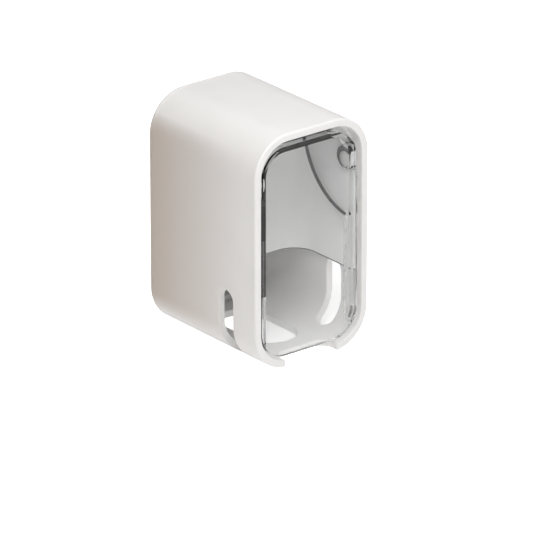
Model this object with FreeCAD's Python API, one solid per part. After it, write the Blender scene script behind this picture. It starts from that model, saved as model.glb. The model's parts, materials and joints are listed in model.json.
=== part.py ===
import FreeCAD, Part
import math
import os

# A clip-on toothbrush sanitizer: a rounded case that slips over the brush head, with a clear
# flip-up front cover and an ultraviolet lamp inside. Millimetres, +Z up, the front faces -Y,
# and the origin is at the middle of the case's base. A depth is measured from the front.

os.makedirs("parts", exist_ok=True)
V = FreeCAD.Vector
ALONG_X = V(1, 0, 0)
ALONG_Y = V(0, 1, 0)
ALONG_Z = V(0, 0, 1)
CLEAR = 1.0
FAR = 60.0

# Case
WIDTH = 31.8
DEPTH = 37.4
HEIGHT = 55.0
CORNER = 9.3
WALL = 1.8
RIM_OUTER_ROUND = 0.5
RIM_INNER_ROUND = 0.3
SEAM = 0.08
INSIDE_HALF = WIDTH / 2 - WALL
INSIDE_CORNER = CORNER - WALL
CEILING = HEIGHT - WALL

# Rear cover: an outer plate, a plug that enters the case, and the seal round the plug
PLATE = 1.1
PLUG_FRONT = 34.4
PLUG_GAP = 0.1
PLUG_WALL = 1.2
SEAL_FRONT = 35.05
SEAL_WIDTH = 0.7
SEAL_DEEP = 0.66
SEAL_GAP = 0.02
CASE_BACK = DEPTH - PLATE

# Openings in the case
NOTCH_HALF = 7.2
NOTCH_DEEP = 4.9
NOTCH_ROUND = 3.0
NOTCH_EDGE_ROUND = 0.45
HOLE_HALF = 5.7
HOLE_FRONT = 9.3
HOLE_BACK = 29.8
HOLE_CORNER = 5.6
HOLE_EDGE_ROUND = 0.4
SLOT_CENTRE = 10.4
SLOT_WIDTH = 4.9
SLOT_TOP = 17.3
SLOT_SWEEP = 60.0
SLOT_EDGE_ROUND = 0.3

# Liner
LINER_GAP = 0.05
LINER_WALL = 0.6
LINER_FRONT = 3.0
LINER_LOW = 17.0
LINER_BACK = 22.0
LINER_BACK_ROUND = 5.7
PANEL = 0.8
LINER_END = 34.3
BAY_FLOOR_END = 36.2
BAY_FLOOR_HALF = 12.7
LINER_OUT = INSIDE_HALF - LINER_GAP
LINER_IN = LINER_OUT - LINER_WALL
BEHIND_PANEL = LINER_BACK + PANEL

# Sloped lamp panel, given by the foot of its front face, its angle and its middle
SLOPE_FOOT = 39.5
SLOPE_ANGLE = 24.4
SLOPE_MIDDLE = 7.25
WINDOW_HALF = 5.0
WINDOW_RISE = 3.0
WINDOW_THICK = 0.8
WINDOW_LAND = 0.4
LAMP_BOARD_HALF = 7.9
LAMP_BOARD_RISE = 4.8
LAMP_BOARD_AT = 3.4
LAMP_BOARD_THICK = 0.8
LAMP_BOSS_RADIUS = 1.3
LAMP_SCREW_X = 6.6
LAMP_SCREW_SHANK = 0.6
LAMP_SCREW_GAP = 0.1
LAMP_SCREW_LENGTH = 2.2
LAMP_SCREW_HEAD = 1.1
LAMP_SCREW_HEAD_TALL = 0.7
LAMP_LEAD_X = 4.5
LAMP_LEAD_RISE = -2.0
LAMP_LEAD_OUT = 2.5
LAMP_LEAD_BEND = 3.0
LED_SIZE = 3.0
LED_TALL = 1.2
LED_DISH_RADIUS = 1.0
LED_DISH_DEEP = 0.4
LED_X = 2.4

# Clear front cover and its hinge
PANE_FRONT = 0.8
PANE_BACK = 2.2
PANE_LOW = 2.5
PANE_TOP = 51.5
PANE_HALF = 13.4
PANE_STEP = 41.0
TOP_ROUND = 6.5
FLANGE_BACK = 3.9
EAR_OUT = 13.0
EAR_IN = 11.65
EAR_FRONT = PANE_FRONT + 0.5
EAR_TOP = 47.35
EAR_TOP_BACK = 5.25
EAR_TIP_HEIGHT = 44.0
EAR_ARC_RADIUS = 17.6
EAR_ARC_DEPTH = 0.8
EAR_ARC_HEIGHT = 47.6
PIVOT_DEPTH = 4.25
PIVOT_HEIGHT = 43.85
PIVOT_HOLE = 2.6
PIVOT_RUNNING_GAP = 0.05
PIVOT_TAPER = 0.35
JOURNAL_END = 12.45
PIVOT_HOLE_END = JOURNAL_END - 0.05
COLLAR_RADIUS = 2.9
COLLAR_START = EAR_OUT + PIVOT_RUNNING_GAP
SPIGOT_RADIUS = 0.9
SPIGOT_END = 15.0
MAGNET_RADIUS = 1.5
MAGNET_THICK = 0.85
MAGNET_DEPTH = 13.0
MAGNET_HEIGHT = 37.5
POCKET_GAP = 0.05

# Screw posts and rear screws
POST_X = 11.0
POST_HEIGHTS = (21.0, 46.0)
POST_START = 11.0
POST_RADIUS = 2.8
POST_NECK_RADIUS = 2.2
POST_END = 35.3
CLAMP_RADIUS = 2.9
CLAMP_GAP = 0.1
SCREW_SHANK = 0.8
SCREW_LENGTH = 6.0
SCREW_HEAD = 1.6
SCREW_HEAD_TALL = 0.9
SCREW_GAP = 0.1
SCREW_SEAT = 36.2
CROSS_HALF = 1.0
CROSS_WIDTH = 0.3
CROSS_START = SCREW_SEAT + 0.4

# Main board and the plain blocks on it
BOARD_FRONT = 31.0
BOARD_THICK = 1.0
BOARD_HALF = 12.5
BOARD_LOW = 18.6
BOARD_TOP = 49.6
BOARD_ROUND = 1.0
BOARD_POST_GAP = 0.15
PROCESSOR = {"x": -1.5, "height": 44.0, "wide": 5.0, "tall": 5.0, "thick": 0.9}
CHARGER = {"x": -2.0, "height": 24.5, "wide": 3.0, "tall": 3.0, "thick": 0.8}
CAPACITOR_COUNT = 4
CAPACITOR_START = -5.5
CAPACITOR_PITCH = 2.2
CAPACITOR = {"height": 33.5, "wide": 1.2, "tall": 2.0, "thick": 0.7}

# Charging port, button, switch and status light, all on one line along the right side
SIDE_LINE = 29.35
USB_HEIGHT = 28.9
USB_WIDE = 8.94
USB_TALL = 3.26
USB_SKIN = 0.3
USB_INNER_END = 8.4
USB_OUTER_END = 15.6
USB_FLOOR = USB_INNER_END + 2 * USB_SKIN
PORT_GAP = 0.22
TONGUE_BASE = 1.2
TONGUE_BASE_GAP = 0.02
TONGUE_SHORT = 0.6
TONGUE_HALF_THICK = 0.35
TONGUE_HALF_WIDE = 3.35
BUTTON_HEIGHT = 40.2
BUTTON_RADIUS = 2.8
BUTTON_ROUND = 0.3
BUTTON_HOLE_GAP = 0.08
BUTTON_FACE = 15.75
BUTTON_FLANGE_RADIUS = 3.4
BUTTON_FLANGE_INNER = 13.35
BUTTON_FLANGE_OUTER = 14.0
SWITCH_OUTER = 11.9
SWITCH_INNER = 8.2
SWITCH_HALF = 2.2
SWITCH_FRONT = 27.6
STEM_RADIUS = 0.8
STEM_GAP = 0.05
STEM_END = 11.45
STEM_HOLE_END = 10.9
PIPE_HEIGHT = 35.3
PIPE_RADIUS = 0.9
PIPE_COLLAR = 0.3
PIPE_INNER_END = 12.2
PIPE_OUTER_END = WIDTH / 2 - 0.05
STATUS_INNER_END = 10.6
STATUS_OUTER_END = 12.0
STATUS_HALF_TALL = 0.6
STATUS_HALF_DEEP = 0.65

# Battery, lid sensor and wires
BATTERY_HALF = 7.5
BATTERY_LOW = 18.8
BATTERY_TOP = 38.8
BATTERY_THICK = 5.0
BATTERY_ROUND = 1.2
TAPE_THICK = 0.25
TAPE_INSET_X = 2.0
TAPE_INSET_Z = 1.0
WIRE_RADIUS = 0.4
BATTERY_LEAD_X = 1.2
BATTERY_LEAD_RISE = 1.6
BATTERY_LEAD_BEND = 1.2
SENSOR_X = -10.2
SENSOR_HALF_WIDE = 1.4
SENSOR_HALF_TALL = 1.5
SENSOR_THICK = 1.1
SENSOR_LEAD_STEP = 0.8

SIDES = (-1, 1)
POSTS = [(side * POST_X, height) for side in SIDES for height in POST_HEIGHTS]


def at(depth):
    """Y of a plane that lies this far behind the front of the case."""
    return depth - DEPTH / 2


def point(x, depth, height):
    return V(x, at(depth), height)


def block(x_low, x_high, front, back, low, high):
    size = (x_high - x_low, back - front, high - low)
    return Part.makeBox(*size, point(x_low, front, low))


def edges_along(shape, direction):
    """Straight edges of the shape that run along a direction."""
    found = []
    for edge in shape.Edges:
        run = edge.Vertexes[-1].Point - edge.Vertexes[0].Point
        if run.Length > 0 and abs(run.normalize().dot(direction)) > 0.999:
            found.append(edge)
    return found


def rounded_block(half, low, high, radius, front, back):
    """Block along Y whose four long edges are rounded."""
    solid = block(-half, half, front, back, low, high)
    return solid.makeFillet(radius, edges_along(solid, ALONG_Y))


def case_outline(offset, front, back):
    """Block with the inside outline of the case, made smaller all round by the offset."""
    half = INSIDE_HALF - offset
    return rounded_block(half, WALL + offset, CEILING - offset, INSIDE_CORNER - offset, front, back)


def ring(offset, thick, front, back):
    """Band that follows the case's inside outline, from the offset inwards."""
    inner = case_outline(offset + thick, front - CLEAR, back + CLEAR)
    return case_outline(offset, front, back).cut(inner)


def rod_x(radius, x_start, x_end, depth, height):
    low = min(x_start, x_end)
    return Part.makeCylinder(radius, abs(x_end - x_start), point(low, depth, height), ALONG_X)


def rod_y(radius, front, back, x, height):
    return Part.makeCylinder(radius, back - front, point(x, front, height), ALONG_Y)


def side_rod(radius, x_start, x_end, height):
    """Rod along X on the line of the button, the light and the port."""
    return rod_x(radius, x_start, x_end, SIDE_LINE, height)


def pivot_rod(radius, x_start, x_end):
    """Rod along X on the hinge line."""
    return rod_x(radius, x_start, x_end, PIVOT_DEPTH, PIVOT_HEIGHT)


def port_bar(grow, x_start, x_end):
    """Bar along X with the charging port's outline, larger all round by grow."""
    reach = (USB_WIDE - USB_TALL) / 2
    radius = USB_TALL / 2 + grow
    edges = (SIDE_LINE - radius, SIDE_LINE + radius, USB_HEIGHT - reach, USB_HEIGHT + reach)
    ends = [side_rod(radius, x_start, x_end, USB_HEIGHT + side * reach) for side in SIDES]
    return block(x_start, x_end, *edges).fuse(ends).removeSplitter()


def mirror_image(shape):
    return shape.mirror(V(0, 0, 0), ALONG_X)


def mirrored(shape):
    """The shape and its mirror image across the middle plane."""
    return [shape, mirror_image(shape)]


def rim_edges(shape, depth, offset):
    """Edges of the case outline, shrunk by the offset, in the plane at this depth."""
    outline = rounded_block(WIDTH / 2 - offset, offset, HEIGHT - offset, CORNER - offset, depth, depth + 1)
    found = []
    for edge in shape.Edges:
        box = edge.BoundBox
        if abs(box.YMin - at(depth)) > 1e-4 or abs(box.YMax - at(depth)) > 1e-4:
            continue
        middle = edge.valueAt((edge.FirstParameter + edge.LastParameter) / 2)
        distance = Part.Vertex(middle).distToShape(outline.Shells[0])[0]
        if distance < 1e-3 and not outline.isInside(middle + V(0, 0.5, 0), 1e-4, False):
            found.append(edge)
    return found


def mouth_edges(shape, cutter):
    """Edges that a cutter has left in the faces of a shape, all round its opening."""
    skin = cutter.Shells[0]
    own_edges = Part.makeCompound(cutter.Edges)
    found = []
    for edge in shape.Edges:
        span = edge.LastParameter - edge.FirstParameter
        spots = [Part.Vertex(edge.valueAt(edge.FirstParameter + span * part)) for part in (0.25, 0.5, 0.75)]
        on_cutter = all(spot.distToShape(skin)[0] < 1e-3 for spot in spots)
        if on_cutter and spots[1].distToShape(own_edges)[0] > 1e-3:
            found.append(edge)
    return found


def front_notch():
    """Cutter for the finger notch in the front of the base."""
    notch = block(-NOTCH_HALF, NOTCH_HALF, -CLEAR, NOTCH_DEEP, -CLEAR, 2 * WALL)
    deep_edges = [edge for edge in edges_along(notch, ALONG_Z) if edge.BoundBox.YMin > at(0)]
    return notch.makeFillet(NOTCH_ROUND, deep_edges)


def brush_hole():
    """Cutter for the hole in the base that the brush head goes through."""
    hole = block(-HOLE_HALF, HOLE_HALF, HOLE_FRONT, HOLE_BACK, -CLEAR, 2 * WALL)
    return hole.makeFillet(HOLE_CORNER, edges_along(hole, ALONG_Z))


def side_slot():
    """Cutter for the slot in the right side: straight, round-topped, and bent under the corner."""
    radius = SLOT_WIDTH / 2
    front = SLOT_CENTRE - radius
    back = SLOT_CENTRE + radius
    inner = INSIDE_HALF - CLEAR
    outer = WIDTH / 2 + CLEAR
    straight = block(inner, outer, front, back, CORNER, SLOT_TOP - radius)
    top = rod_x(radius, inner, outer, SLOT_CENTRE, SLOT_TOP - radius)
    corner_x = WIDTH / 2 - CORNER
    turn = SLOT_SWEEP - math.degrees(radius / (CORNER - WALL / 2))
    strip = Part.makePlane(outer - inner, back - front, point(inner, front, CORNER), ALONG_Z)
    bend = strip.revolve(point(corner_x, 0, CORNER), ALONG_Y, turn)
    end = rod_x(radius, inner, outer, SLOT_CENTRE, CORNER)
    end.rotate(point(corner_x, SLOT_CENTRE, CORNER), ALONG_Y, turn)
    return straight.fuse([top, bend, end]).removeSplitter()


def outer_shell():
    shell = rounded_block(WIDTH / 2, 0, HEIGHT, CORNER, 0, CASE_BACK)
    shell = shell.makeFillet(RIM_OUTER_ROUND, rim_edges(shell, 0, 0))
    shell = shell.makeChamfer(SEAM, rim_edges(shell, CASE_BACK, 0))
    shell = shell.cut(case_outline(0, -CLEAR, CASE_BACK + CLEAR))
    shell = shell.makeFillet(RIM_INNER_ROUND, rim_edges(shell, 0, WALL))
    openings = [(front_notch(), NOTCH_EDGE_ROUND), (brush_hole(), HOLE_EDGE_ROUND)]
    openings += [(slot, SLOT_EDGE_ROUND) for slot in mirrored(side_slot())]
    for cutter, radius in openings:
        shell = shell.cut(cutter)
        shell = shell.makeFillet(radius, mouth_edges(shell, cutter))
    inside = INSIDE_HALF - CLEAR
    cutters = mirrored(pivot_rod(SPIGOT_RADIUS, inside, SPIGOT_END))
    cutters.append(port_bar(PORT_GAP, inside, WIDTH))
    cutters.append(side_rod(BUTTON_RADIUS + BUTTON_HOLE_GAP, inside, WIDTH, BUTTON_HEIGHT))
    cutters.append(side_rod(PIPE_RADIUS, inside, WIDTH, PIPE_HEIGHT))
    return shell.cut(cutters)


def rear_cover():
    plate = rounded_block(WIDTH / 2, 0, HEIGHT, CORNER, CASE_BACK, DEPTH)
    plate = plate.makeFillet(RIM_INNER_ROUND, rim_edges(plate, DEPTH, 0))
    plate = plate.makeChamfer(SEAM, rim_edges(plate, CASE_BACK, 0))
    plug = ring(PLUG_GAP, PLUG_WALL, PLUG_FRONT, CASE_BACK)
    board_back = BOARD_FRONT + BOARD_THICK
    clamps = [rod_y(CLAMP_RADIUS, board_back, CASE_BACK, x, height) for x, height in POSTS]
    cutters = [ring(-CLEAR, CLEAR + SEAL_GAP + SEAL_DEEP, SEAL_FRONT, SEAL_FRONT + SEAL_WIDTH)]
    for x, height in POSTS:
        cutters.append(rod_y(POST_NECK_RADIUS + CLAMP_GAP, BOARD_FRONT, POST_END, x, height))
        cutters.append(rod_y(SCREW_SHANK + SCREW_GAP, POST_END - CLEAR, CASE_BACK, x, height))
        cutters.append(rod_y(SCREW_HEAD + SCREW_GAP, SCREW_SEAT, DEPTH + CLEAR, x, height))
    return plate.fuse([plug] + clamps).cut(cutters)


def rear_seal():
    return ring(SEAL_GAP, SEAL_DEEP, SEAL_FRONT, SEAL_FRONT + SEAL_WIDTH)


def rear_screws():
    screws = []
    for x, height in POSTS:
        head = rod_y(SCREW_HEAD, SCREW_SEAT, SCREW_SEAT + SCREW_HEAD_TALL, x, height)
        screw = head.fuse(rod_y(SCREW_SHANK, SCREW_SEAT - SCREW_LENGTH, SCREW_SEAT, x, height))
        low = height - CROSS_WIDTH / 2
        slot = block(x - CROSS_HALF, x + CROSS_HALF, CROSS_START, DEPTH, low, low + CROSS_WIDTH)
        crossed = slot.copy()
        crossed.rotate(point(x, 0, height), ALONG_Y, 90)
        screws.append(screw.cut([slot, crossed]))
    return Part.makeCompound(screws)


def on_slope(shape):
    """Move a shape from the lamp's own frame to the sloped panel.

    In the lamp's frame X is X, Y points into the case from the panel's front face, Z runs up
    the slope, and the origin is the middle of the panel's front face."""
    moved = shape.copy()
    moved.rotate(V(0, 0, 0), ALONG_X, SLOPE_ANGLE)
    rise = SLOPE_MIDDLE * math.cos(math.radians(SLOPE_ANGLE))
    run = SLOPE_MIDDLE * math.sin(math.radians(SLOPE_ANGLE))
    moved.translate(point(0, LINER_BACK - run, SLOPE_FOOT + rise))
    return moved


def lamp_block(half, rise, start, thick):
    return on_slope(Part.makeBox(2 * half, thick, 2 * rise, V(-half, start, -rise)))


def lamp_rod(radius, start, end, x):
    return on_slope(Part.makeCylinder(radius, end - start, V(x, start, 0), ALONG_Y))


def below_slope(offset):
    """Everything in front of and under the sloped panel's front face, moved back by the offset."""
    lower = block(-FAR, FAR, -FAR, LINER_BACK + offset, -FAR, FAR)
    sloped = on_slope(Part.makeBox(2 * FAR, FAR, 2 * FAR, V(-FAR, offset - FAR, -FAR)))
    return lower.common(sloped)


def liner_chamber():
    """The liner's hollow, where the brush head stands."""
    inset = LINER_GAP + LINER_WALL
    section = rounded_block(LINER_IN, 0, CEILING - inset, INSIDE_CORNER - inset, -CLEAR, DEPTH)
    plan = block(-LINER_IN, LINER_IN, -CLEAR, LINER_BACK, -CLEAR, HEIGHT)
    back_edges = [edge for edge in edges_along(plan, ALONG_Z) if edge.BoundBox.YMin > at(0)]
    plan = plan.makeFillet(LINER_BACK_ROUND, back_edges)
    return section.common(plan).common(below_slope(0))


def inner_liner():
    body = case_outline(LINER_GAP, LINER_FRONT, LINER_END)
    body = body.common(block(-WIDTH, WIDTH, 0, DEPTH, LINER_LOW, HEIGHT))
    pieces = [body.common(block(-WIDTH, WIDTH, 0, DEPTH, LINER_LOW, LINER_LOW + PANEL))]
    floor_end = (LINER_BACK, BAY_FLOOR_END, LINER_LOW, LINER_LOW + PANEL)
    pieces.append(block(-BAY_FLOOR_HALF, BAY_FLOOR_HALF, *floor_end))
    cutters = [liner_chamber()]
    for x, height in POSTS:
        pieces.append(rod_y(POST_RADIUS, POST_START, BOARD_FRONT, x, height))
        pieces.append(rod_y(POST_NECK_RADIUS, BOARD_FRONT, POST_END, x, height))
        cutters.append(rod_y(SCREW_SHANK, SCREW_SEAT - SCREW_LENGTH, POST_END + CLEAR, x, height))
    hole_start = LAMP_BOARD_AT - LAMP_SCREW_LENGTH
    for side in SIDES:
        pieces.append(lamp_rod(LAMP_BOSS_RADIUS, 0, LAMP_BOARD_AT, side * LAMP_SCREW_X))
        cutters.append(lamp_rod(LAMP_SCREW_SHANK, hole_start, LAMP_BOARD_AT + CLEAR, side * LAMP_SCREW_X))
    view = (WINDOW_HALF - WINDOW_LAND, WINDOW_RISE - WINDOW_LAND)
    cutters.append(lamp_block(*view, -CLEAR, PANEL + 2 * CLEAR))
    cutters += mirrored(pivot_rod(SPIGOT_RADIUS, LINER_IN - CLEAR, LINER_OUT + CLEAR))
    return body.common(below_slope(PANEL)).fuse(pieces).cut(cutters)


def ear():
    """The right ear: a plate that carries the hinge hole and sweeps back beside the liner."""
    low_height = EAR_ARC_HEIGHT - math.sqrt(EAR_ARC_RADIUS ** 2 - (PANE_BACK - EAR_ARC_DEPTH) ** 2)
    tip_depth = EAR_ARC_DEPTH + math.sqrt(EAR_ARC_RADIUS ** 2 - (EAR_ARC_HEIGHT - EAR_TIP_HEIGHT) ** 2)
    half_way = EAR_ARC_RADIUS * math.sqrt(0.5)
    low = point(EAR_IN, PANE_BACK, low_height)
    middle = point(EAR_IN, EAR_ARC_DEPTH + half_way, EAR_ARC_HEIGHT - half_way)
    tip = point(EAR_IN, tip_depth, EAR_TIP_HEIGHT)
    arc = Part.Arc(low, middle, tip).toShape()
    corners = [tip, point(EAR_IN, EAR_TOP_BACK, EAR_TOP), point(EAR_IN, EAR_FRONT, EAR_TOP)]
    corners += [point(EAR_IN, EAR_FRONT, low_height), low]
    lines = [Part.makeLine(a, b) for a, b in zip(corners, corners[1:])]
    return Part.Face(Part.Wire([arc] + lines)).extrude(V(EAR_OUT - EAR_IN, 0, 0))


def front_cover():
    thick = EAR_OUT - EAR_IN
    low_corner = INSIDE_CORNER - (INSIDE_HALF - PANE_HALF)
    pane = rounded_block(PANE_HALF, PANE_LOW, HEIGHT + CORNER, low_corner, PANE_FRONT, PANE_BACK)
    pane = pane.common(block(-WIDTH, WIDTH, 0, DEPTH, 0, PANE_STEP))
    tray_low = PANE_LOW + PANE_HALF - EAR_OUT
    tray = rounded_block(EAR_OUT, tray_low, PANE_TOP, TOP_ROUND, PANE_FRONT, FLANGE_BACK)
    tray = tray.cut(rounded_block(EAR_IN, -HEIGHT, PANE_TOP - thick, TOP_ROUND - thick, PANE_BACK, DEPTH))
    cover = pane.fuse([tray] + mirrored(ear())).removeSplitter()
    hole = pivot_rod(PIVOT_HOLE, PIVOT_HOLE_END, EAR_OUT + CLEAR)
    taper_start = point(PIVOT_HOLE_END - PIVOT_TAPER, PIVOT_DEPTH, PIVOT_HEIGHT)
    taper = Part.makeCone(PIVOT_HOLE - PIVOT_TAPER, PIVOT_HOLE, PIVOT_TAPER, taper_start, ALONG_X)
    pocket_end = MAGNET_THICK + POCKET_GAP - EAR_OUT
    pocket = rod_x(MAGNET_RADIUS + POCKET_GAP, -EAR_OUT - CLEAR, pocket_end, MAGNET_DEPTH, MAGNET_HEIGHT)
    return cover.cut(mirrored(hole) + mirrored(taper) + [pocket])


def cover_magnet():
    return rod_x(MAGNET_RADIUS, -EAR_OUT, MAGNET_THICK - EAR_OUT, MAGNET_DEPTH, MAGNET_HEIGHT)


def right_hinge_pin():
    journal = pivot_rod(PIVOT_HOLE - PIVOT_RUNNING_GAP, JOURNAL_END, LINER_IN)
    collar = pivot_rod(COLLAR_RADIUS, COLLAR_START, LINER_IN)
    spigot = pivot_rod(SPIGOT_RADIUS, LINER_IN, SPIGOT_END)
    head = journal.fuse(collar).common(liner_chamber())
    return head.fuse(spigot).removeSplitter()


def left_hinge_pin():
    return mirror_image(right_hinge_pin())


def uv_window():
    return lamp_block(WINDOW_HALF, WINDOW_RISE, PANEL, WINDOW_THICK)


def uv_board():
    board = lamp_block(LAMP_BOARD_HALF, LAMP_BOARD_RISE, LAMP_BOARD_AT, LAMP_BOARD_THICK)
    radius = LAMP_SCREW_SHANK + LAMP_SCREW_GAP
    start = LAMP_BOARD_AT - CLEAR
    end = LAMP_BOARD_AT + LAMP_BOARD_THICK + CLEAR
    return board.cut([lamp_rod(radius, start, end, side * LAMP_SCREW_X) for side in SIDES])


def uv_leds():
    front = LAMP_BOARD_AT - LED_TALL
    leds = []
    for side in SIDES:
        corner = V(side * LED_X - LED_SIZE / 2, front, -LED_SIZE / 2)
        body = Part.makeBox(LED_SIZE, LED_TALL, LED_SIZE, corner)
        dish = Part.makeCylinder(LED_DISH_RADIUS, LED_DISH_DEEP, V(side * LED_X, front, 0), ALONG_Y)
        leds.append(on_slope(body.cut(dish)))
    return Part.makeCompound(leds)


def lamp_screws():
    seat = LAMP_BOARD_AT + LAMP_BOARD_THICK
    tip = LAMP_BOARD_AT - LAMP_SCREW_LENGTH + LAMP_SCREW_GAP
    screws = []
    for side in SIDES:
        head = lamp_rod(LAMP_SCREW_HEAD, seat, seat + LAMP_SCREW_HEAD_TALL, side * LAMP_SCREW_X)
        screws.append(head.fuse(lamp_rod(LAMP_SCREW_SHANK, tip, seat, side * LAMP_SCREW_X)))
    return Part.makeCompound(screws)


def bent_wire(start, corner, end, bend):
    """Wire of two straight runs joined by one tangent arc."""
    first = (start - corner).normalize()
    last = (end - corner).normalize()
    half_turn = math.acos(first.dot(last)) / 2
    reach = bend / math.tan(half_turn)
    arc_start = corner + first * reach
    arc_end = corner + last * reach
    centre = corner + (first + last).normalize() * (bend / math.sin(half_turn))
    arc_middle = centre + (corner - centre).normalize() * bend
    arc = Part.Arc(arc_start, arc_middle, arc_end).toShape()
    path = Part.Wire([Part.makeLine(start, arc_start), arc, Part.makeLine(arc_end, end)])
    circle = Part.Wire([Part.makeCircle(WIRE_RADIUS, start, corner - start)])
    return path.makePipeShell([circle], True, False)


def lamp_leads():
    leads = []
    for side in SIDES:
        start = V(side * LAMP_LEAD_X, LAMP_BOARD_AT + LAMP_BOARD_THICK, LAMP_LEAD_RISE)
        first_run = on_slope(Part.makeLine(start, start + V(0, LAMP_LEAD_OUT, 0)))
        first, corner = [vertex.Point for vertex in first_run.Vertexes]
        end = V(corner.x, at(BOARD_FRONT), corner.z)
        leads.append(bent_wire(first, corner, end, LAMP_LEAD_BEND))
    return Part.makeCompound(leads)


def main_board():
    board = block(-BOARD_HALF, BOARD_HALF, BOARD_FRONT, BOARD_FRONT + BOARD_THICK, BOARD_LOW, BOARD_TOP)
    board = board.makeFillet(BOARD_ROUND, edges_along(board, ALONG_Y))
    radius = POST_NECK_RADIUS + BOARD_POST_GAP
    return board.cut([rod_y(radius, BOARD_FRONT - CLEAR, POST_END, x, height) for x, height in POSTS])


def board_part(x, height, wide, tall, thick):
    """Plain block on the front face of the main board."""
    low = height - tall / 2
    return block(x - wide / 2, x + wide / 2, BOARD_FRONT - thick, BOARD_FRONT, low, low + tall)


def control_chips():
    chips = [board_part(**PROCESSOR), board_part(**CHARGER)]
    for index in range(CAPACITOR_COUNT):
        chips.append(board_part(x=CAPACITOR_START + index * CAPACITOR_PITCH, **CAPACITOR))
    return Part.makeCompound(chips)


def usb_shell():
    return port_bar(0, USB_INNER_END, USB_OUTER_END).cut(port_bar(-USB_SKIN, USB_FLOOR, WIDTH))


def usb_tongue():
    half = USB_TALL / 2 - USB_SKIN - TONGUE_BASE_GAP
    reach = (USB_WIDE - USB_TALL) / 2
    low = USB_HEIGHT - reach
    base_end = USB_FLOOR + TONGUE_BASE
    base = block(USB_FLOOR, base_end, SIDE_LINE - half, SIDE_LINE + half, low, low + 2 * reach)
    front = SIDE_LINE - TONGUE_HALF_THICK
    low = USB_HEIGHT - TONGUE_HALF_WIDE
    end = USB_OUTER_END - TONGUE_SHORT
    tongue = block(USB_FLOOR, end, front, front + 2 * TONGUE_HALF_THICK, low, low + 2 * TONGUE_HALF_WIDE)
    return base.fuse(tongue).removeSplitter()


def tact_switch():
    low = BUTTON_HEIGHT - SWITCH_HALF
    body = block(SWITCH_INNER, SWITCH_OUTER, SWITCH_FRONT, BOARD_FRONT, low, BUTTON_HEIGHT + SWITCH_HALF)
    return body.cut(side_rod(STEM_RADIUS + STEM_GAP, STEM_HOLE_END, SWITCH_OUTER + CLEAR, BUTTON_HEIGHT))


def switch_stem():
    return side_rod(STEM_RADIUS, STEM_END, BUTTON_FLANGE_INNER, BUTTON_HEIGHT)


def power_button():
    cap = side_rod(BUTTON_RADIUS, BUTTON_FLANGE_INNER, BUTTON_FACE, BUTTON_HEIGHT)
    rim = [edge for edge in cap.Edges if edge.BoundBox.XMin > BUTTON_FLANGE_OUTER]
    cap = cap.makeFillet(BUTTON_ROUND, rim)
    flange = side_rod(BUTTON_FLANGE_RADIUS, BUTTON_FLANGE_INNER, BUTTON_FLANGE_OUTER, BUTTON_HEIGHT)
    return cap.fuse(flange).removeSplitter()


def status_led():
    front = SIDE_LINE - STATUS_HALF_DEEP
    low = PIPE_HEIGHT - STATUS_HALF_TALL
    return block(STATUS_INNER_END, STATUS_OUTER_END, front, BOARD_FRONT, low, low + 2 * STATUS_HALF_TALL)


def light_pipe():
    rod = side_rod(PIPE_RADIUS, PIPE_INNER_END, PIPE_OUTER_END, PIPE_HEIGHT)
    collar = side_rod(PIPE_RADIUS + PIPE_COLLAR, BUTTON_FLANGE_INNER, INSIDE_HALF, PIPE_HEIGHT)
    return rod.fuse(collar).removeSplitter()


def battery():
    front = BEHIND_PANEL + TAPE_THICK
    cell = block(-BATTERY_HALF, BATTERY_HALF, front, front + BATTERY_THICK, BATTERY_LOW, BATTERY_TOP)
    return cell.makeFillet(BATTERY_ROUND, edges_along(cell, ALONG_Z))


def battery_tape():
    half = BATTERY_HALF - TAPE_INSET_X
    back = BEHIND_PANEL + TAPE_THICK
    return block(-half, half, BEHIND_PANEL, back, BATTERY_LOW + TAPE_INSET_Z, BATTERY_TOP - TAPE_INSET_Z)


def battery_leads():
    middle = BEHIND_PANEL + TAPE_THICK + BATTERY_THICK / 2
    high = BATTERY_TOP + BATTERY_LEAD_RISE
    leads = []
    for side in SIDES:
        x = side * BATTERY_LEAD_X
        route = (point(x, middle, BATTERY_TOP), point(x, middle, high), point(x, BOARD_FRONT, high))
        leads.append(bent_wire(*route, BATTERY_LEAD_BEND))
    return Part.makeCompound(leads)


def hall_sensor():
    back = BEHIND_PANEL + SENSOR_THICK
    low = MAGNET_HEIGHT - SENSOR_HALF_TALL
    high = MAGNET_HEIGHT + SENSOR_HALF_TALL
    return block(SENSOR_X - SENSOR_HALF_WIDE, SENSOR_X + SENSOR_HALF_WIDE, BEHIND_PANEL, back, low, high)


def sensor_leads():
    front = BEHIND_PANEL + SENSOR_THICK
    leads = []
    for side in SIDES:
        height = MAGNET_HEIGHT + side * SENSOR_LEAD_STEP
        leads.append(rod_y(WIRE_RADIUS, front, BOARD_FRONT, SENSOR_X, height))
    return Part.makeCompound(leads)


NODES = [
    outer_shell, rear_cover, rear_seal, rear_screws, inner_liner, front_cover, cover_magnet,
    right_hinge_pin, left_hinge_pin, uv_window, uv_board, uv_leds, lamp_screws, lamp_leads,
    main_board, control_chips, usb_shell, usb_tongue, tact_switch, switch_stem, power_button,
    status_led, light_pipe, battery, battery_tape, battery_leads, hall_sensor, sensor_leads,
]

for make_node in NODES:
    shape = make_node()
    shape.exportStep("parts/" + make_node.__name__ + ".step")
    print(make_node.__name__, shape.isValid(), len(shape.Solids), round(shape.Volume, 2))
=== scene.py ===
import json
import math

import bmesh
import bpy
from mathutils import Matrix, Vector


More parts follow.
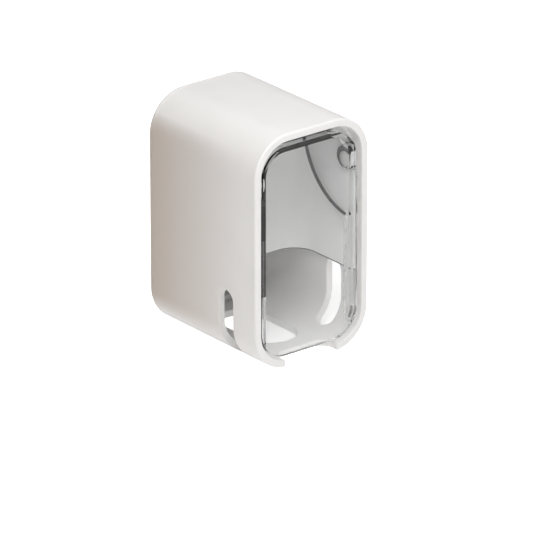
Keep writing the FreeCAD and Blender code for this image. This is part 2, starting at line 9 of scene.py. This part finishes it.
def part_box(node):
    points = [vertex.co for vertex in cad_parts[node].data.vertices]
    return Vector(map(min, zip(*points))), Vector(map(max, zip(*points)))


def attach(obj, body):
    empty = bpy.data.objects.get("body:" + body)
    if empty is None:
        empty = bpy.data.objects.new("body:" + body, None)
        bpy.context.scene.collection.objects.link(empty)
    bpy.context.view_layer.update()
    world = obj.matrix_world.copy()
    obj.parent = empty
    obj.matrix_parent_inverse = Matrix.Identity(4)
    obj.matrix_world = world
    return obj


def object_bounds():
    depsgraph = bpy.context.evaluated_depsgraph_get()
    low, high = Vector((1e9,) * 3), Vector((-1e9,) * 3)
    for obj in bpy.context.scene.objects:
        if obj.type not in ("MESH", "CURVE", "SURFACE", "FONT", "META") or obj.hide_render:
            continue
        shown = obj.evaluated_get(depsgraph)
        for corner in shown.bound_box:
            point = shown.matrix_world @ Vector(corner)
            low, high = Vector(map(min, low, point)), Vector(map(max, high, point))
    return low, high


# The looks of a clip-on toothbrush sanitizer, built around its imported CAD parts.
# Lengths are in metres and angles in degrees. +Z is up, and the clear front cover faces -Y.

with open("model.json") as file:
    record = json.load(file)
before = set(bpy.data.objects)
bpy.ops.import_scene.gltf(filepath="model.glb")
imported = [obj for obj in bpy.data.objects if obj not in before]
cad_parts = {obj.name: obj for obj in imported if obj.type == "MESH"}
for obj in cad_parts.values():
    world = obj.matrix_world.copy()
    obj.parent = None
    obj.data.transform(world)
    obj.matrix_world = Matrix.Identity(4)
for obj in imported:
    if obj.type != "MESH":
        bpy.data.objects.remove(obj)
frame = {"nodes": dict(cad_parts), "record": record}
cad_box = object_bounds()

MM = 0.001
LOW, HIGH = cad_box
CENTRE = (LOW + HIGH) / 2

# Camera: round the object's centre, then moved a little aside so that the object sits off centre
CAMERA_AZIMUTH = -38.7357
CAMERA_ELEVATION = 22.6581
CAMERA_DISTANCE = 1427.17 * MM
CAMERA_RIGHT = 3.715 * MM
CAMERA_DOWN = 12.537 * MM
CAMERA_LENS = 422.68
CAMERA_SENSOR = 36.0
CAMERA_CLIP = (0.05, 20.0)

# Colours of the largest parts, with the painted shade and light that the case and the liner mix in
CASE_COLOUR = (0.81, 0.80, 0.79)
# Painted shade: the case's left side turns darker and warmer towards the back
CASE_SIDE_SHADE_COLOUR = (0.53, 0.46, 0.405)
LINER_COLOUR = (0.58, 0.58, 0.575)
# Painted light: the liner turns lighter towards the right
LINER_PAINTED_LIGHT_COLOUR = (0.88, 0.88, 0.875)
# Painted shadow: a fine dark line along the liner's lower edge
LINER_SHADOW_COLOUR = (0.12, 0.12, 0.12)

# Greys of the cover's matt faces: a frosted face, painted shade behind the flange, and painted dark edges
# and shadows on the ears and in the hinge holes
FROSTED_GREY = 0.75
HOLE_FRONT_GREY = 0.6
# Painted shade behind the flange on the left and at the top
LEFT_FLANGE_SHADE_GREY = 0.05
TOP_FLANGE_SHADE_GREY = 0.02
# Painted dark reflections on the ears' swept edges, and painted shadow crescents in the hinge holes
PAINTED_DARK_GREY = 0.0
MATT_ROUGHNESS = 0.6

# Ranges on the case and the liner over which their painted shade and light change
FRONT, BACK = LOW.y, HIGH.y
SIDE = HIGH.x
CASE_SIDE_START = 0.9 * SIDE
CASE_SHADE_START = FRONT + 4 * MM
LINER_LIGHT_START = -0.4 * SIDE
LINER_LIGHT_END = 0.85 * SIDE
LINER_LOW = 17.0 * MM
# Height of the painted shadow line along the liner's lower edge
LINER_EDGE = 0.28 * MM

# Faces of the cover: its pane, its flange, the swept edge of its ears and its hinge holes
COVER_PANE_BACK = FRONT + 2.2 * MM
COVER_FLANGE_BACK = FRONT + 3.9 * MM
COVER_TOP_LOW = 50.1 * MM
COVER_EAR_IN = 11.65 * MM
COVER_EAR_OUT = 13.0 * MM
EAR_EDGE = {"y": FRONT + 0.8 * MM, "z": 47.6 * MM, "radius": 17.6 * MM}
EAR_BORDER = 0.35 * MM
PIVOT = {"y": FRONT + 4.25 * MM, "z": 43.85 * MM, "radius": 2.6 * MM, "inner": 1.95 * MM}
PIVOT_SHIFT = 0.45 * MM
PIVOT_HOLE_END = 12.0 * MM

# Slack that takes in a face that lies at the end of a range, and a place past the whole object
HAIR = 0.03 * MM
FAR = 1.0

# Fine pieces: lenses on the lamp's light sources, and contacts on the port's tongue
LAMP_TILT = 24.4
LENS_X = 2.4 * MM
LENS_RADIUS = 0.96 * MM
LENS_FOOT = -0.2 * MM
LENS_SHOULDER = 0.6 * MM
LENS_TALL = 0.7 * MM
LENS_RINGS = 10
LENS_SIDES = 40
CONTACT_COUNT = 12
CONTACT_PITCH = 0.5 * MM
CONTACT_SIZE = (2.0 * MM, 0.10 * MM, 0.28 * MM)
CONTACT_INSET = 0.4 * MM
CONTACT_BEVEL = 0.03 * MM
CONTACT_BEVEL_STEPS = 2
TONGUE_HALF_THICK = 0.35 * MM

# Studio floor, which glows more to the camera than it lights the object
FLOOR_HALF = 6.0
FLOOR_COLOUR = (0.95, 0.95, 0.95)
FLOOR_TONE = 0.995
FLOOR_TONE_SIZE = 80 * MM
FLOOR_ROUGHNESS = 0.9
FLOOR_GLOW = 0.25
FLOOR_SEEN_GLOW = 1.0

# Room light, from left to right
WHITE = (1.0, 1.0, 1.0)
WORLD_LEFT = (0.62, 0.56, 0.51)
WORLD_LEFT_END = -0.6
WORLD_RIGHT_START = 0.4
WORLD_STRENGTH = 0.24

# Softboxes: azimuth, elevation, distance, diameter, watts and colour
SOFTBOXES = {
    "key_softbox": (-30, 56, 0.21, 0.08, 0.18, WHITE),
    "top_softbox": (10, 84, 1.3, 1.0, 8.4, WHITE),
    "front_softbox": (20, 25, 1.3, 0.8, 2.2, WHITE),
    "left_softbox": (-95, 25, 1.3, 0.8, 1.0, (1.0, 0.95, 0.9)),
}

# Sockets of a Mix node that mixes colours. Their names repeat, so they go by number.
MIX_FACTOR, MIX_FIRST, MIX_SECOND = 0, 6, 7
MIX_COLOUR = 2


def direction(azimuth, elevation):
    """Unit vector towards a place round the object. Azimuth 0 is the front and 90 the right."""
    a = math.radians(azimuth)
    e = math.radians(elevation)
    return Vector((math.sin(a) * math.cos(e), -math.cos(a) * math.cos(e), math.sin(e)))


def middle(low, high):
    return (Vector(low) + Vector(high)) / 2


def link(name, data):
    """Make an object of this data and put it in the scene."""
    thing = bpy.data.objects.new(name, data)
    bpy.context.scene.collection.objects.link(thing)
    return thing


def aim(thing, back):
    """Turn a lamp or a camera so that its back faces this way. Returns the turn."""
    turn = back.to_track_quat("Z", "Y")
    thing.rotation_mode = "QUATERNION"
    thing.rotation_quaternion = turn
    return turn


# ---------------------------------------------------------------- materials

class Nodes:
    """The node tree of a material or a world, with short calls for the nodes they share."""

    def __init__(self, owner, output):
        owner.use_nodes = True
        self.owner = owner
        self.tree = owner.node_tree
        self.tree.nodes.clear()
        self.output = self.add(output)

    def add(self, kind, inputs=None, **settings):
        node = self.tree.nodes.new("ShaderNode" + kind)
        for key, value in settings.items():
            setattr(node, key, value)
        for key, value in (inputs or {}).items():
            self.put(node.inputs[key], value)
        return node

    def put(self, socket, value):
        """Link a socket to another node's output, or give it a plain value."""
        if isinstance(value, bpy.types.NodeSocket):
            self.tree.links.new(value, socket)
        elif isinstance(value, tuple) and len(value) == 3 and socket.type == "RGBA":
            socket.default_value = (*value, 1.0)
        else:
            socket.default_value = value

    def places(self, kind="Object"):
        return self.add("TexCoord").outputs[kind]

    def axes(self, kind="Object"):
        return self.add("SeparateXYZ", {"Vector": self.places(kind)}).outputs

    def compute(self, operation, first, second=0.0):
        return self.add("Math", {0: first, 1: second}, operation=operation).outputs[0]

    def every(self, *factors):
        """1 where all of these 0..1 factors are 1."""
        found = factors[0]
        for factor in factors[1:]:
            found = self.compute("MULTIPLY", found, factor)
        return found

    def between(self, value, low, high):
        """1 where the value lies between low and high, and 0 elsewhere."""
        above = self.compute("GREATER_THAN", value, low)
        return self.every(above, self.compute("LESS_THAN", value, high))

    def radius_about(self, y, z):
        """Distance from the line along X through this place."""
        flat = self.add("VectorMath", {0: self.places(), 1: (0.0, 1.0, 1.0)}, operation="MULTIPLY")
        reach = self.add("VectorMath", {0: flat.outputs[0], 1: (0.0, y, z)}, operation="DISTANCE")
        return reach.outputs["Value"]

    def noise(self, size, detail=3.0, stretch=(1.0, 1.0, 1.0)):
        """Noise whose features are about this size in metres."""
        mapping = self.add("Mapping", {"Vector": self.places(), "Scale": stretch})
        inputs = {"Vector": mapping.outputs[0], "Scale": 1 / size, "Detail": detail}
        return self.add("TexNoise", inputs).outputs["Fac"]

    def span(self, value, low, high, start=0.3, end=0.7):
        """Map a value from start..end, the range of most noise, to low..high."""
        inputs = {"Value": value, "From Min": start, "From Max": end, "To Min": low, "To Max": high}
        return self.add("MapRange", inputs).outputs[0]

    def blend(self, factor, first, second):
        """Mix two colours."""
        inputs = {MIX_FACTOR: factor, MIX_FIRST: first, MIX_SECOND: second}
        return self.add("Mix", inputs, data_type="RGBA").outputs[MIX_COLOUR]

    def mix(self, factor, first, second):
        """Mix two shaders."""
        return self.add("MixShader", {0: factor, 1: first, 2: second}).outputs[0]

    def bump(self, height, depth):
        inputs = {"Height": height, "Distance": depth, "Strength": 1.0}
        return self.add("Bump", inputs).outputs[0]

    def principled(self, inputs):
        return self.add("BsdfPrincipled", inputs).outputs[0]

    def surface(self, shader):
        """Make this shader the surface, and return the material or world."""
        self.put(self.output.inputs["Surface"], shader)
        return self.owner


def material_nodes(name):
    return Nodes(bpy.data.materials.new(name), "OutputMaterial")


def shade(colour, factor):
    return tuple(channel * factor for channel in colour)


def moulded(name, colour, roughness, uneven=0.03, flow=9 * MM, dark=0.985, light=1.01,
            grain=0.12 * MM, depth=0.004 * MM, painted_shading=None):
    """Injection moulded plastic: fine spark-eroded grain over faint flow marks.

    Painted light and shade come as pairs of a factor and the colour that the plastic has where the factor
    is 1."""
    n = material_nodes(name)
    marks = n.noise(flow, detail=2.0)
    tint = n.blend(n.span(marks, 0.0, 1.0), shade(colour, dark), shade(colour, light))
    for factor, other in (painted_shading(n) if painted_shading else ()):
        tint = n.blend(factor, tint, other)
    return n.surface(n.principled({
        "Base Color": tint,
        "Roughness": n.span(marks, roughness - uneven, roughness + uneven),
        "Normal": n.bump(n.noise(grain, detail=2.0), depth),
        "IOR": 1.5,
    }))


def case_painted_shade(n):
    """Painted shade: the case's left side is a little darker and warmer towards the back."""
    x, y, _ = n.axes()
    shade_on_side = n.span(x, 0.0, 1.0, -CASE_SIDE_START, -SIDE)
    shade_to_back = n.span(y, 0.0, 1.0, CASE_SHADE_START, BACK)
    return [(n.every(shade_on_side, shade_to_back), CASE_SIDE_SHADE_COLOUR)]


def liner_painted_light_and_shadow(n):
    """Painted light and painted shadow: the liner is lighter on the right, and has a fine dark line along
    its lower edge.
    """
    x, _, z = n.axes()
    to_right = n.span(x, 0.0, 1.0, LINER_LIGHT_START, LINER_LIGHT_END)
    edge_shadow = n.between(z, 0.0, LINER_LOW + LINER_EDGE)
    return [(to_right, LINER_PAINTED_LIGHT_COLOUR), (edge_shadow, LINER_SHADOW_COLOUR)]


def clear_plastic(name, colour, ior, roughness=0.0, uneven=0.01, ripple=5 * MM, matt_faces=None):
    """Clear moulded plastic that lets lamplight through unbent, so that what is inside is lit.

    Matt faces are pairs of a factor and the grey that the surface has where the factor is 1."""
    n = material_nodes(name)
    glass = n.principled({
        "Base Color": colour,
        "Roughness": n.span(n.noise(ripple, detail=1.0), roughness, roughness + uneven),
        "Transmission Weight": 1.0,
        "IOR": ior,
    })
    passing = n.add("BsdfTransparent", {"Color": colour}).outputs[0]
    path = n.add("LightPath").outputs
    lamplight = n.compute("MAXIMUM", path["Is Shadow Ray"], path["Is Diffuse Ray"])
    shader = n.mix(lamplight, glass, passing)
    for factor, grey in (matt_faces(n) if matt_faces else ()):
        matt = n.principled({
            "Base Color": (grey, grey, grey),
            "Roughness": MATT_ROUGHNESS,
            "Specular IOR Level": 0.0,
        })
        shader = n.mix(factor, shader, matt)
    return n.surface(shader)


def flange_faces(n):
    """The cover's flange is frosted outside on the right, and has painted shade behind on the left and
    top.
    """
    x, y, z = n.axes()
    right = n.every(n.between(x, COVER_EAR_OUT - HAIR, FAR), n.between(y, COVER_PANE_BACK + HAIR, FAR))
    behind = n.between(y, COVER_FLANGE_BACK - HAIR, FAR)
    in_left = n.between(x, -COVER_EAR_OUT + HAIR, -COVER_EAR_IN - HAIR)
    left = n.every(in_left, behind, n.between(z, LINER_LOW, FAR))
    top = n.every(behind, n.between(z, COVER_TOP_LOW, FAR))
    return [(right, FROSTED_GREY), (left, LEFT_FLANGE_SHADE_GREY), (top, TOP_FLANGE_SHADE_GREY)]


def ear_faces(n):
    """Each ear has a painted dark reflection on its swept edge, and a fine painted dark border beside it
    on the outer face.
    """
    x, y, _ = n.axes()
    away = n.compute("ABSOLUTE", x)
    radius = n.radius_about(EAR_EDGE["y"], EAR_EDGE["z"])
    behind = n.between(y, COVER_FLANGE_BACK + HAIR, FAR)
    outer = EAR_EDGE["radius"] + HAIR
    swept = n.every(n.between(radius, EAR_EDGE["radius"] - HAIR, outer), behind)
    border = n.every(n.between(radius, EAR_EDGE["radius"] - EAR_BORDER, outer), behind,
                     n.between(away, COVER_EAR_OUT - HAIR, FAR))
    return [(swept, PAINTED_DARK_GREY), (border, PAINTED_DARK_GREY)]


def hole_faces(n):
    """Each hinge hole has a painted shadow crescent in it, and a grey front."""
    x, y, _ = n.axes()
    away = n.compute("ABSOLUTE", x)
    radius = n.radius_about(PIVOT["y"], PIVOT["z"])
    shifted = n.radius_about(PIVOT["y"] - PIVOT_SHIFT, PIVOT["z"] - PIVOT_SHIFT)
    in_hole = n.every(n.between(radius, 0.0, PIVOT["radius"] + HAIR),
                      n.between(away, PIVOT_HOLE_END, COVER_EAR_OUT - HAIR))
    # Painted shadow: a dark crescent on the hole's back half
    crescent = n.every(in_hole, n.between(shifted, PIVOT["inner"], FAR))
    front = n.every(in_hole, n.between(y, -FAR, PIVOT["y"] - PIVOT["inner"]))
    return [(crescent, PAINTED_DARK_GREY), (front, HOLE_FRONT_GREY)]


def cover_faces(n):
    return flange_faces(n) + ear_faces(n) + hole_faces(n)


def frosted(name, colour, roughness, uneven=0.05, cloud=0.6 * MM, dark=0.96, clear=0.25, ior=1.49):
    """Milky translucent plastic."""
    n = material_nodes(name)
    milk = n.noise(cloud, detail=3.0)
    return n.surface(n.principled({
        "Base Color": n.blend(milk, shade(colour, dark), colour),
        "Roughness": n.span(milk, roughness - uneven, roughness + uneven),
        "Transmission Weight": clear,
        "IOR": ior,
    }))


def metal(name, colour, roughness, stretch=(1.0, 1.0, 1.0), streak=0.2 * MM, depth=0.002 * MM,
          dark=0.9, smoothest=0.8, roughest=1.25):
    """Metal with fine drawn or plated streaks."""
    n = material_nodes(name)
    streaks = n.noise(streak, detail=4.0, stretch=stretch)
    return n.surface(n.principled({
        "Base Color": n.blend(streaks, shade(colour, dark), colour),
        "Metallic": 1.0,
        "Roughness": n.span(streaks, roughness * smoothest, roughness * roughest),
        "Normal": n.bump(streaks, depth),
    }))


def board(name, mask, track, cell, stretch=(1.0, 0.2, 1.0), irregular=0.4, edges=(0.36, 0.42),
          gloss=2 * MM, smoothest=0.28, roughest=0.4, depth=0.02 * MM):
    """Circuit board: solder mask over faint tracks on a square grid."""
    n = material_nodes(name)
    mapping = n.add("Mapping", {"Vector": n.places(), "Scale": stretch})
    grid = {"Vector": mapping.outputs[0], "Scale": 1 / cell, "Randomness": irregular}
    pattern = n.add("TexVoronoi", grid, feature="F1", distance="CHEBYCHEV")
    lines = n.span(pattern.outputs["Distance"], 0.0, 1.0, *edges)
    return n.surface(n.principled({
        "Base Color": n.blend(lines, track, mask),
        "Roughness": n.span(n.noise(gloss), smoothest, roughest),
        "Normal": n.bump(lines, depth),
    }))


def foil(name, colour, wrinkle=3 * MM, stretch=(1.0, 1.0, 0.4), dark=0.85, metallic=0.6,
         smoothest=0.3, roughest=0.45, depth=0.08 * MM):
    """Laminate pouch with a soft wrinkle."""
    n = material_nodes(name)
    folds = n.noise(wrinkle, detail=5.0, stretch=stretch)
    return n.surface(n.principled({
        "Base Color": n.blend(folds, shade(colour, dark), colour),
        "Metallic": metallic,
        "Roughness": n.span(folds, smoothest, roughest),
        "Normal": n.bump(folds, depth),
    }))


def make_materials():
    """One material for each of the record's material slots."""
    looks = {
        # The case mixes in painted shade on its left side
        "case_plastic": (moulded, dict(colour=CASE_COLOUR, roughness=0.45, painted_shading=case_painted_shade)),
        # The cover's matt faces hold painted shade, painted dark reflections and painted shadows
        "cover_clear": (clear_plastic, dict(colour=(0.985, 0.99, 0.99), ior=1.49, matt_faces=cover_faces)),
        # The liner mixes in painted light on its right and a painted shadow along its lower edge
        "liner_plastic": (moulded, dict(colour=LINER_COLOUR, roughness=0.38, painted_shading=liner_painted_light_and_shadow)),
        "seal_rubber": (moulded, dict(colour=(0.70, 0.70, 0.68), roughness=0.7, depth=0.01 * MM)),
        "pin_plastic": (moulded, dict(colour=(0.66, 0.66, 0.655), roughness=0.3)),
        "screw_steel": (metal, dict(colour=(0.62, 0.62, 0.63), roughness=0.32)),
        "magnet_nickel": (metal, dict(colour=(0.75, 0.74, 0.71), roughness=0.15)),
        "quartz": (clear_plastic, dict(colour=(0.97, 0.98, 1.0), ior=1.46)),
        "white_board": (board, dict(mask=(0.80, 0.80, 0.78), track=(0.68, 0.68, 0.65), cell=1.6 * MM)),
        "green_board": (board, dict(mask=(0.02, 0.16, 0.07), track=(0.05, 0.27, 0.12), cell=1.3 * MM)),
        "led_ceramic": (moulded, dict(colour=(0.82, 0.79, 0.68), roughness=0.5)),
        "chip_black": (moulded, dict(colour=(0.03, 0.03, 0.032), roughness=0.5)),
        "port_steel": (metal, dict(colour=(0.70, 0.70, 0.71), roughness=0.25, stretch=(0.1, 1.0, 1.0))),
        "port_black": (moulded, dict(colour=(0.02, 0.02, 0.021), roughness=0.42)),
        "button_white": (moulded, dict(colour=(0.82, 0.81, 0.80), roughness=0.3)),
        "pipe_clear": (frosted, dict(colour=(0.86, 0.89, 0.88), roughness=0.4)),
        "cell_wrap": (foil, dict(colour=(0.72, 0.74, 0.76))),
        "tape_yellow": (moulded, dict(colour=(0.74, 0.55, 0.12), roughness=0.55)),
        "wire_red": (moulded, dict(colour=(0.50, 0.03, 0.02), roughness=0.45)),
        "wire_white": (moulded, dict(colour=(0.78, 0.78, 0.76), roughness=0.45)),
    }
    return {slot: make(slot, **settings) for slot, (make, settings) in looks.items()}


def dress_nodes(materials):
    """Give every CAD node the material of its slot in the record."""
    for part in frame["record"]["subparts"]:
        node = frame["nodes"][part["node"]]
        node.data.materials.clear()
        node.data.materials.append(materials[part["material_slot"]])


# ---------------------------------------------------------------- fine pieces

def add_piece(name, shape, material):
    """Make a bmesh into a piece that rides on the case and takes the finish of a record's slot."""
    mesh = bpy.data.meshes.new(name)
    shape.to_mesh(mesh)
    shape.free()
    mesh.materials.append(material)
    piece = link(name, mesh)
    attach(piece, "case")


def lens_outline():
    """Radius and height of each ring of a lens: a short foot in the dish, then a dome."""
    rings = [(LENS_RADIUS, LENS_FOOT), (LENS_RADIUS, LENS_SHOULDER)]
    for step in range(1, LENS_RINGS):
        angle = math.pi / 2 * step / LENS_RINGS
        rings.append((LENS_RADIUS * math.cos(angle), LENS_SHOULDER + LENS_TALL * math.sin(angle)))
    return rings


def lens(shape, x):
    """Turn the lens outline about its axis, with the height along -Y before the tilt."""
    turns = [2 * math.pi * side / LENS_SIDES for side in range(LENS_SIDES)]
    rings = []
    for radius, height in lens_outline():
        places = [(x + radius * math.cos(turn), -height, radius * math.sin(turn)) for turn in turns]
        rings.append([shape.verts.new(place) for place in places])
    tip = shape.verts.new((x, -LENS_SHOULDER - LENS_TALL, 0))
    for side in range(LENS_SIDES):
        after = (side + 1) % LENS_SIDES
        for lower, upper in zip(rings, rings[1:]):
            shape.faces.new((lower[side], lower[after], upper[after], upper[side]))
        shape.faces.new((rings[-1][side], rings[-1][after], tip))
    shape.faces.new(rings[0])


def make_lenses(materials):
    """A lens on each light source of the lamp, tilted with the lamp."""
    low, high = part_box("uv_leds")
    shape = bmesh.new()
    for side in (-1, 1):
        lens(shape, side * LENS_X)
    bmesh.ops.recalc_face_normals(shape, faces=shape.faces)
    for face in shape.faces:
        flat_end = len(face.verts) == LENS_SIDES
        face.smooth = not flat_end
    tilt = Matrix.Rotation(math.radians(LAMP_TILT), 4, "X")
    place = Matrix.Translation(middle(low, high))
    bmesh.ops.transform(shape, matrix=place @ tilt, verts=shape.verts)
    add_piece("lamp_lenses", shape, materials["quartz"])


def make_contacts(materials):
    """A row of contacts on both faces of the port's tongue."""
    low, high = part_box("usb_tongue")
    centre = middle(low, high)
    length, thick, wide = CONTACT_SIZE
    x = high[0] - CONTACT_INSET - length / 2
    shape = bmesh.new()
    for face in (-1, 1):
        for number in range(CONTACT_COUNT):
            z = centre.z + (number - (CONTACT_COUNT - 1) / 2) * CONTACT_PITCH
            place = Matrix.Translation((x, centre.y + face * TONGUE_HALF_THICK, z))
            size = Matrix.Diagonal((length, thick, wide, 1.0))
            bmesh.ops.create_cube(shape, size=1.0, matrix=place @ size)
    bmesh.ops.bevel(shape, geom=shape.edges[:], offset=CONTACT_BEVEL, segments=CONTACT_BEVEL_STEPS,
                    affect="EDGES")
    add_piece("port_contacts", shape, materials["port_steel"])


# ---------------------------------------------------------------- studio

def make_floor():
    """Plain pale paper that looks white to the camera."""
    n = material_nodes("floor_paper")
    tone = n.blend(n.noise(FLOOR_TONE_SIZE), shade(FLOOR_COLOUR, FLOOR_TONE), FLOOR_COLOUR)
    seen = n.add("LightPath").outputs["Is Camera Ray"]
    paper = n.surface(n.principled({
        "Base Color": tone,
        "Roughness": FLOOR_ROUGHNESS,
        "Emission Color": tone,
        "Emission Strength": n.span(seen, FLOOR_GLOW, FLOOR_SEEN_GLOW, 0.0, 1.0),
    }))
    mesh = bpy.data.meshes.new("floor")
    corners = [(x * FLOOR_HALF, y * FLOOR_HALF, 0) for x, y in ((-1, -1), (1, -1), (1, 1), (-1, 1))]
    mesh.from_pydata(corners, [], [(0, 1, 2, 3)])
    mesh.materials.append(paper)
    floor = link("floor", mesh)


def make_world():
    """Pale room, darker and warmer on the left, in front of a backdrop that the camera sees white."""
    world = bpy.data.worlds.new("room")
    n = Nodes(world, "OutputWorld")
    to_right = n.span(n.axes("Generated")["X"], 0.0, 1.0, WORLD_LEFT_END, WORLD_RIGHT_START)
    tone = n.blend(to_right, WORLD_LEFT, WHITE)
    room = n.add("Background", {"Color": tone, "Strength": WORLD_STRENGTH}).outputs[0]
    backdrop = n.add("Background", {"Color": WHITE}).outputs[0]
    seen = n.add("LightPath").outputs["Is Camera Ray"]
    bpy.context.scene.world = n.surface(n.mix(seen, room, backdrop))


def softbox(name, azimuth, elevation, distance, diameter, power, colour):
    """A round lamp that faces the object's centre."""
    light = bpy.data.lights.new(name, "AREA")
    light.shape = "DISK"
    light.size = diameter
    light.energy = power
    light.color = colour
    lamp = link(name, light)
    back = direction(azimuth, elevation)
    lamp.location = CENTRE + back * distance
    aim(lamp, back)


def make_camera():
    data = bpy.data.cameras.new("camera")
    data.lens = CAMERA_LENS
    data.sensor_width = CAMERA_SENSOR
    data.clip_start, data.clip_end = CAMERA_CLIP
    camera = link("camera", data)
    back = direction(CAMERA_AZIMUTH, CAMERA_ELEVATION)
    turn = aim(camera, back)
    right = turn @ Vector((1, 0, 0))
    up = turn @ Vector((0, 1, 0))
    camera.location = CENTRE + back * CAMERA_DISTANCE + right * CAMERA_RIGHT - up * CAMERA_DOWN
    bpy.context.scene.camera = camera


bpy.context.scene.view_settings.view_transform = "Standard"
materials = make_materials()
dress_nodes(materials)
make_lenses(materials)
make_contacts(materials)
make_floor()
make_world()
for name, settings in SOFTBOXES.items():
    softbox(name, *settings)
make_camera()
